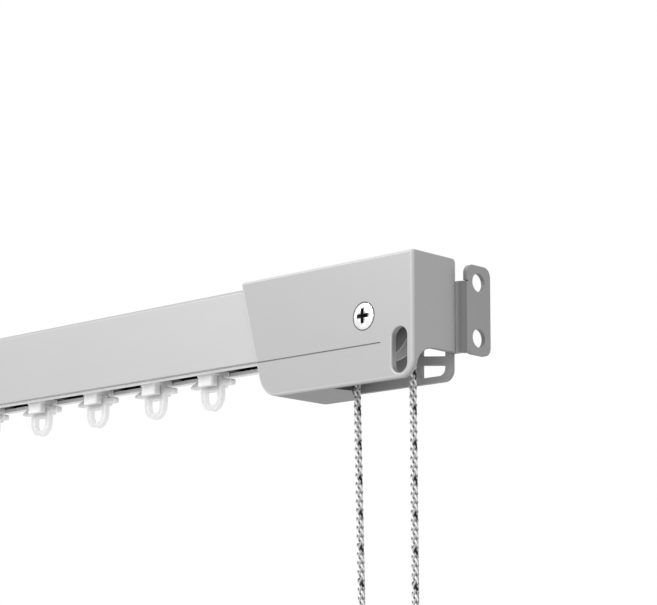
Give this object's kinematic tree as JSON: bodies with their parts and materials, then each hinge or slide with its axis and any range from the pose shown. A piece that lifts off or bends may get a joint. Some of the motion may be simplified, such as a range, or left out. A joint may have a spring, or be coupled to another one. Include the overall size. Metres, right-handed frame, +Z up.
{
  "type": "curtain track",
  "caption": "Corded curtain track: aluminium rail on bent steel end brackets, with a control head, a return head, sliding gliders, a cord-drawn carrier and a weighted cord loop.",
  "frame": {"origin": "midway between the two fixing holes, on the outer face of the control bracket's flange", "axes": "+X along the rail towards the control head's flange, +Y back towards the window, +Z up"},
  "size_m": [0.48, 0.0345, 0.178],
  "materials": {
    "aluminium_rail": "satin anodised",
    "dark_steel": "dark grey, satin",
    "grey_plastic": "moulded, satin",
    "bright_screws": "bright zinc",
    "axle_steel": "turned",
    "wheel_plastic": "moulded",
    "stop_plastic": "moulded",
    "glider_plastic": "translucent white, satin",
    "white_cord": "braided, white with grey and black tracers",
    "weight_metal": "light grey, satin",
    "yoke_steel": "zinc plated"
  },
  "bodies": {
    "track": {"rail": "aluminium_rail", "end_bracket": "dark_steel", "return_bracket": "dark_steel", "bracket_screws": "bright_screws", "head_cover": "grey_plastic", "return_cover": "grey_plastic", "cover_screw": "bright_screws", "return_screw": "bright_screws", "wheel_axle": "axle_steel", "return_axle": "axle_steel", "inner_axle": "axle_steel", "inner_clip": "axle_steel", "end_stop": "stop_plastic", "return_stop": "stop_plastic", "rail_cord": "white_cord", "hanging_cord": "white_cord", "weight_yoke": "yoke_steel", "weight_pin": "axle_steel", "cord_weight": "weight_metal", "weight_screw": "bright_screws"},
    "head_wheel": {"head_wheel": "wheel_plastic"},
    "inner_wheel": {"inner_wheel": "wheel_plastic"},
    "return_wheel": {"return_wheel": "wheel_plastic"},
    "weight_wheel": {"weight_wheel": "wheel_plastic"},
    "carrier": {"carrier_body": "glider_plastic", "clamp_screws": "bright_screws"},
    "glider_1": {"glider_1": "glider_plastic"},
    "glider_2": {"glider_2": "glider_plastic"},
    "glider_3": {"glider_3": "glider_plastic"},
    "glider_4": {"glider_4": "glider_plastic"},
    "glider_5": {"glider_5": "glider_plastic"},
    "glider_6": {"glider_6": "glider_plastic"},
    "glider_7": {"glider_7": "glider_plastic"}
  },
  "joints": [
    {"name": "carrier_slide", "type": "slide", "parent": "track", "child": "carrier", "axis": [1, 0, 0], "range_m": [-0.003, 0.097]},
    {"name": "glider_1_slide", "type": "slide", "parent": "track", "child": "glider_1", "axis": [1, 0, 0], "range_m": [-0.0089, 0.0205]},
    {"name": "glider_2_slide", "type": "slide", "parent": "track", "child": "glider_2", "axis": [1, 0, 0], "range_m": [-0.0111, 0.0089]},
    {"name": "glider_3_slide", "type": "slide", "parent": "track", "child": "glider_3", "axis": [1, 0, 0], "range_m": [-0.0117, 0.0111]},
    {"name": "glider_4_slide", "type": "slide", "parent": "track", "child": "glider_4", "axis": [1, 0, 0], "range_m": [-0.0111, 0.0117]},
    {"name": "glider_5_slide", "type": "slide", "parent": "track", "child": "glider_5", "axis": [1, 0, 0], "range_m": [-0.0111, 0.0111]},
    {"name": "glider_6_slide", "type": "slide", "parent": "track", "child": "glider_6", "axis": [1, 0, 0], "range_m": [-0.0111, 0.0111]},
    {"name": "glider_7_slide", "type": "slide", "parent": "track", "child": "glider_7", "axis": [1, 0, 0], "range_m": [-0.097, 0.0111]},
    {"name": "head_wheel_spin", "type": "hinge", "parent": "track", "child": "head_wheel", "pos_m": [-0.02345, -0.01655, -0.00285], "axis": [0, 1, 0], "continuous": true},
    {"name": "inner_wheel_spin", "type": "hinge", "parent": "track", "child": "inner_wheel", "pos_m": [-0.0451, -0.01655, -0.0112], "axis": [0, 1, 0], "continuous": true},
    {"name": "return_wheel_spin", "type": "hinge", "parent": "track", "child": "return_wheel", "pos_m": [-0.456, -0.01655, 0.00208], "axis": [0, 1, 0], "continuous": true},
    {"name": "weight_wheel_spin", "type": "hinge", "parent": "track", "child": "weight_wheel", "pos_m": [-0.0227, -0.01655, -0.117], "axis": [0, 1, 0], "continuous": true}
  ],
  "couplings": [
    {"joint": "inner_wheel_spin", "follows": "carrier_slide", "rad_per_m": 125},
    {"joint": "head_wheel_spin", "follows": "carrier_slide", "rad_per_m": -98.04},
    {"joint": "return_wheel_spin", "follows": "carrier_slide", "rad_per_m": -189.57},
    {"joint": "weight_wheel_spin", "follows": "carrier_slide", "rad_per_m": -91.74}
  ]
}
